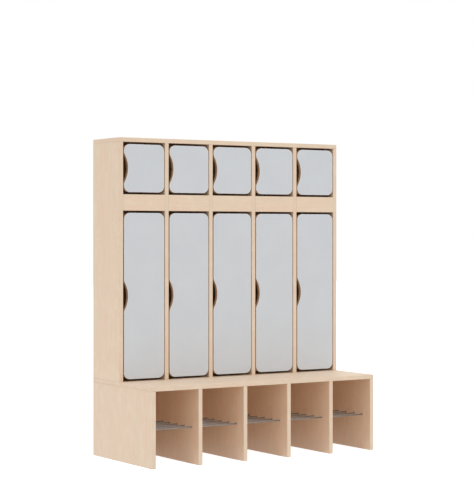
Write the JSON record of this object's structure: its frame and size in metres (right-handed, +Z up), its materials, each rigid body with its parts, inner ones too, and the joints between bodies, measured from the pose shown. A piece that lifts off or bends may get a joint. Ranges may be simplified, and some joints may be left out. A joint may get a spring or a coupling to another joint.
{
  "type": "locker cabinet",
  "caption": "Children's changing-room locker: small upper lockers and tall coat lockers with hinged doors above a bench with open shoe bays.",
  "frame": {"origin": "centre of the footprint on the floor", "axes": "+Z up; the doors and the bench face -Y; the back sheet faces +Y; +X to the right of somebody facing the doors"},
  "size_m": [1.093, 0.5, 1.324],
  "materials": {
    "maple_board": "satin maple-pattern laminate with a matching edge band",
    "grey_door": "satin light grey film over a board with rounded rims",
    "back_sheet": "matte thin fibreboard",
    "rod_steel": "satin grey coated steel rod",
    "hinge_steel": "nickel-plated pressed steel"
  },
  "bodies": {
    "root": {"lower_side_left": "maple_board", "lower_side_right": "maple_board", "lower_divider_1": "maple_board", "lower_divider_2": "maple_board", "lower_divider_3": "maple_board", "lower_divider_4": "maple_board", "upper_side_left": "maple_board", "upper_side_right": "maple_board", "upper_divider_1": "maple_board", "upper_divider_2": "maple_board", "upper_divider_3": "maple_board", "upper_divider_4": "maple_board", "seat_board": "maple_board", "top_board": "maple_board", "back_panel": "back_sheet", "rail_1": "maple_board", "rail_2": "maple_board", "rail_3": "maple_board", "rail_4": "maple_board", "rail_5": "maple_board", "shelf_1": "maple_board", "shelf_2": "maple_board", "shelf_3": "maple_board", "shelf_4": "maple_board", "shelf_5": "maple_board", "shoe_rod_1": "rod_steel", "shoe_rod_2": "rod_steel", "shoe_rod_3": "rod_steel", "shoe_rod_4": "rod_steel", "shoe_rod_5": "rod_steel", "hinge_arm_upper_1_top": "hinge_steel", "hinge_arm_upper_1_bottom": "hinge_steel", "hinge_arm_upper_2_top": "hinge_steel", "hinge_arm_upper_2_bottom": "hinge_steel", "hinge_arm_upper_3_top": "hinge_steel", "hinge_arm_upper_3_bottom": "hinge_steel", "hinge_arm_upper_4_top": "hinge_steel", "hinge_arm_upper_4_bottom": "hinge_steel", "hinge_arm_upper_5_top": "hinge_steel", "hinge_arm_upper_5_bottom": "hinge_steel", "hinge_arm_tall_1_top": "hinge_steel", "hinge_arm_tall_1_bottom": "hinge_steel", "hinge_arm_tall_2_top": "hinge_steel", "hinge_arm_tall_2_bottom": "hinge_steel", "hinge_arm_tall_3_top": "hinge_steel", "hinge_arm_tall_3_bottom": "hinge_steel", "hinge_arm_tall_4_top": "hinge_steel", "hinge_arm_tall_4_bottom": "hinge_steel", "hinge_arm_tall_5_top": "hinge_steel", "hinge_arm_tall_5_bottom": "hinge_steel"},
    "upper_leaf_1": {"upper_door_1": "grey_door"},
    "upper_leaf_2": {"upper_door_2": "grey_door"},
    "upper_leaf_3": {"upper_door_3": "grey_door"},
    "upper_leaf_4": {"upper_door_4": "grey_door"},
    "upper_leaf_5": {"upper_door_5": "grey_door"},
    "tall_leaf_1": {"tall_door_1": "grey_door"},
    "tall_leaf_2": {"tall_door_2": "grey_door"},
    "tall_leaf_3": {"tall_door_3": "grey_door"},
    "tall_leaf_4": {"tall_door_4": "grey_door"},
    "tall_leaf_5": {"tall_door_5": "grey_door"}
  },
  "joints": [
    {"name": "upper_door_1_hinge", "type": "hinge", "parent": "root", "child": "upper_leaf_1", "pos_m": [-0.3345, 0.0206, 1.1985], "axis": [0, 0, 1], "range_deg": [0, 110]},
    {"name": "upper_door_2_hinge", "type": "hinge", "parent": "root", "child": "upper_leaf_2", "pos_m": [-0.1195, 0.0206, 1.1985], "axis": [0, 0, 1], "range_deg": [0, 110]},
    {"name": "upper_door_3_hinge", "type": "hinge", "parent": "root", "child": "upper_leaf_3", "pos_m": [0.0955, 0.0206, 1.1985], "axis": [0, 0, 1], "range_deg": [0, 110]},
    {"name": "upper_door_4_hinge", "type": "hinge", "parent": "root", "child": "upper_leaf_4", "pos_m": [0.3105, 0.0206, 1.1985], "axis": [0, 0, 1], "range_deg": [0, 110]},
    {"name": "upper_door_5_hinge", "type": "hinge", "parent": "root", "child": "upper_leaf_5", "pos_m": [0.5255, 0.0206, 1.1985], "axis": [0, 0, 1], "range_deg": [0, 110]},
    {"name": "tall_door_1_hinge", "type": "hinge", "parent": "root", "child": "tall_leaf_1", "pos_m": [-0.3345, 0.0206, 0.674], "axis": [0, 0, 1], "range_deg": [0, 110]},
    {"name": "tall_door_2_hinge", "type": "hinge", "parent": "root", "child": "tall_leaf_2", "pos_m": [-0.1195, 0.0206, 0.674], "axis": [0, 0, 1], "range_deg": [0, 110]},
    {"name": "tall_door_3_hinge", "type": "hinge", "parent": "root", "child": "tall_leaf_3", "pos_m": [0.0955, 0.0206, 0.674], "axis": [0, 0, 1], "range_deg": [0, 110]},
    {"name": "tall_door_4_hinge", "type": "hinge", "parent": "root", "child": "tall_leaf_4", "pos_m": [0.3105, 0.0206, 0.674], "axis": [0, 0, 1], "range_deg": [0, 110]},
    {"name": "tall_door_5_hinge", "type": "hinge", "parent": "root", "child": "tall_leaf_5", "pos_m": [0.5255, 0.0206, 0.674], "axis": [0, 0, 1], "range_deg": [0, 110]}
  ]
}
